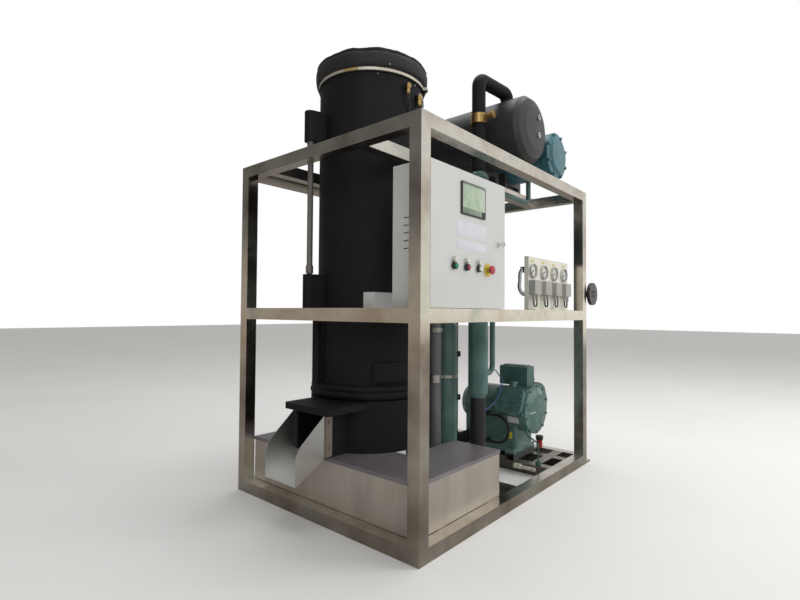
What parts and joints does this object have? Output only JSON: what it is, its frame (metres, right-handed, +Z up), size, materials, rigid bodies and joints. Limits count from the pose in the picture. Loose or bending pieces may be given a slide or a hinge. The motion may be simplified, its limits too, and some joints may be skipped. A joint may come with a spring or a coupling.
{
  "type": "tube ice machine",
  "caption": "Tube ice machine in a welded tube frame, with a vertical evaporator, ice chute, refrigeration set, gauges and control cabinet.",
  "frame": {"origin": "centre of the frame's footprint, on the floor, under the middle base bearer", "axes": "+Z up, -Y to the front with the control cabinet, -X to the side with the ice chute"},
  "size_m": [2.044, 1.301, 2.2929],
  "materials": {
    "frame_steel": "polished stainless tube",
    "tank_steel": "satin stainless sheet",
    "cover_sheet": "satin folded sheet",
    "black_foam": "matt black foam skin",
    "inner_steel": "stainless, machined",
    "motor_paint": "grey-blue machine paint",
    "band_steel": "thin bright band",
    "braid": "braided wire over hose",
    "chute_steel": "satin stainless sheet",
    "cabinet_paint": "fine textured powder coat",
    "switch_plastic": "moulded",
    "bright_metal": "bright plate",
    "screen_plastic": "dark bezel, green glass",
    "start_cap": "moulded",
    "stop_cap": "moulded",
    "reset_cap": "moulded",
    "green_paint": "semi-gloss machine enamel",
    "condenser_paint": "semi-gloss machine enamel",
    "grey_paint": "satin machine paint",
    "brass": "machined, a little dull",
    "panel_paint": "cream powder coat",
    "gauge_metal": "dark bezel, pale dial",
    "needle_paint": "thin painted pointer",
    "switch_case": "satin",
    "flange_black": "satin black"
  },
  "bodies": {
    "machine": {"frame_posts": "frame_steel", "base_rails": "frame_steel", "mid_rails": "frame_steel", "top_rails": "frame_steel", "roof_crossbeams": "frame_steel", "base_bearers": "frame_steel", "anchor_lug": "frame_steel", "water_tank": "tank_steel", "tank_cover": "cover_sheet", "cutter_drum": "black_foam", "outlet_duct": "black_foam", "evaporator_shell": "black_foam", "foam_wraps": "black_foam", "evaporator_lid": "black_foam", "level_branches": "black_foam", "suction_separator": "black_foam", "suction_pipes": "black_foam", "drum_legs": "inner_steel", "ice_tube_bundle": "inner_steel", "gear_motor": "motor_paint", "water_pump": "motor_paint", "clamp_band": "band_steel", "level_hose": "braid", "chute": "chute_steel", "cabinet_shell": "cabinet_paint", "terminal_box": "cabinet_paint", "switchgear": "switch_plastic", "sight_glasses": "bright_metal", "slim_vessel": "green_paint", "compressor_housing": "green_paint", "compressor_end_cover": "green_paint", "cylinder_heads": "green_paint", "compressor_wiring_box": "green_paint", "hot_gas_pipes": "green_paint", "condenser_shell": "condenser_paint", "condenser_covers": "condenser_paint", "stand_pipe": "grey_paint", "water_riser": "grey_paint", "liquid_receiver": "grey_paint", "vessel_saddles": "grey_paint", "compressor_rails": "grey_paint", "brass_fittings": "brass", "gauge_panel": "panel_paint", "gauge_cases": "gauge_metal", "pressure_switches": "switch_case", "water_connection": "flange_black", "service_lines": "flange_black"},
    "door": {"cabinet_door": "cabinet_paint", "touch_screen": "screen_plastic", "button_barrels": "bright_metal"},
    "start_button": {"start_button": "start_cap"},
    "stop_button": {"stop_button": "stop_cap"},
    "reset_button": {"reset_button": "reset_cap"},
    "emergency_stop": {"emergency_stop": "stop_cap"},
    "door_key": {"door_key": "bright_metal"},
    "cutter_rotor": {"cutter_rotor": "inner_steel"},
    "gauge_needle_1": {"gauge_needle_1": "needle_paint"},
    "gauge_needle_2": {"gauge_needle_2": "needle_paint"},
    "gauge_needle_3": {"gauge_needle_3": "needle_paint"},
    "gauge_needle_4": {"gauge_needle_4": "needle_paint"}
  },
  "joints": [
    {"name": "door_hinge", "type": "hinge", "parent": "machine", "child": "door", "pos_m": [-0.814, -0.633, 1.29], "axis": [0, 0, -1], "range_deg": [0, 110]},
    {"name": "start_button_press", "type": "slide", "parent": "door", "child": "start_button", "axis": [0, 1, 0], "range_m": [0, 0.004], "stiffness_N_per_m": 300},
    {"name": "stop_button_press", "type": "slide", "parent": "door", "child": "stop_button", "axis": [0, 1, 0], "range_m": [0, 0.004], "stiffness_N_per_m": 300},
    {"name": "reset_button_press", "type": "slide", "parent": "door", "child": "reset_button", "axis": [0, 1, 0], "range_m": [0, 0.004], "stiffness_N_per_m": 300},
    {"name": "emergency_stop_press", "type": "slide", "parent": "door", "child": "emergency_stop", "axis": [0, 1, 0], "range_m": [0, 0.006]},
    {"name": "door_key_turn", "type": "hinge", "parent": "door", "child": "door_key", "pos_m": [-0.278, -0.64, 1.299], "axis": [0, 1, 0], "range_deg": [0, 90]},
    {"name": "gauge_needle_1_turn", "type": "hinge", "parent": "machine", "child": "gauge_needle_1", "pos_m": [0.205, -0.581, 1.21], "axis": [0, 1, 0], "range_deg": [0, 270], "stiffness_Nm_per_rad": 0.001},
    {"name": "gauge_needle_2_turn", "type": "hinge", "parent": "machine", "child": "gauge_needle_2", "pos_m": [0.348, -0.581, 1.21], "axis": [0, 1, 0], "range_deg": [0, 270], "stiffness_Nm_per_rad": 0.001},
    {"name": "gauge_needle_3_turn", "type": "hinge", "parent": "machine", "child": "gauge_needle_3", "pos_m": [0.491, -0.581, 1.21], "axis": [0, 1, 0], "range_deg": [0, 270], "stiffness_Nm_per_rad": 0.001},
    {"name": "gauge_needle_4_turn", "type": "hinge", "parent": "machine", "child": "gauge_needle_4", "pos_m": [0.634, -0.581, 1.21], "axis": [0, 1, 0], "range_deg": [0, 270], "stiffness_Nm_per_rad": 0.001},
    {"name": "cutter_turn", "type": "hinge", "parent": "machine", "child": "cutter_rotor", "pos_m": [-0.418, 0.083, 0.33], "axis": [0, 0, 1], "continuous": true}
  ]
}
